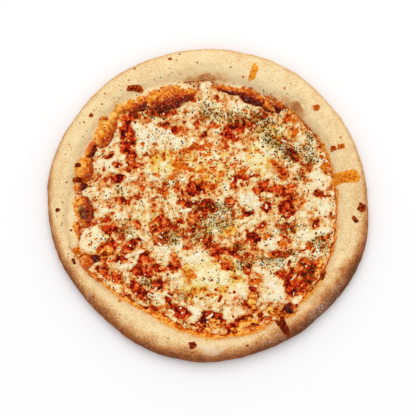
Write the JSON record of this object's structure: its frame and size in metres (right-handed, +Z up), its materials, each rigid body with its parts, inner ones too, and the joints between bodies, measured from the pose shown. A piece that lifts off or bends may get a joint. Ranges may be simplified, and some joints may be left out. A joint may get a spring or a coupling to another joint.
{
  "type": "margherita pizza",
  "caption": "Whole baked margherita pizza: round dough base with a puffed uneven rim, tomato sauce and melted, toasted cheese.",
  "frame": {"origin": "middle of the underside, at the centre of the outline's box", "axes": "+Z up out of the topping; the base lies flat on the XY plane; +Y is the side that is furthest from the eye in the usual view"},
  "size_m": [0.2992, 0.2928, 0.0235],
  "materials": {
    "dough": "baked wheat dough, pale and matte with browned edges",
    "sauce": "cooked tomato sauce, wet",
    "cheese": "melted mozzarella, satin and oily",
    "toasted_cheese": "cheese toasted on the rim",
    "baked_sauce": "sauce dried on the rim"
  },
  "bodies": {
    "root": {"crust": "dough", "tomato_sauce": "sauce", "melted_cheese": "cheese", "cheese_strip_north": "toasted_cheese", "cheese_square_northeast": "toasted_cheese", "cheese_bit_east_outer": "toasted_cheese", "cheese_bit_east_inner": "toasted_cheese", "cheese_patch_east": "toasted_cheese", "cheese_strip_west": "toasted_cheese", "cheese_strip_northwest": "toasted_cheese", "sauce_blob_east": "baked_sauce", "sauce_fleck_east": "baked_sauce", "sauce_drip_southeast": "baked_sauce", "sauce_dot_south": "baked_sauce"}
  },
  "joints": []
}
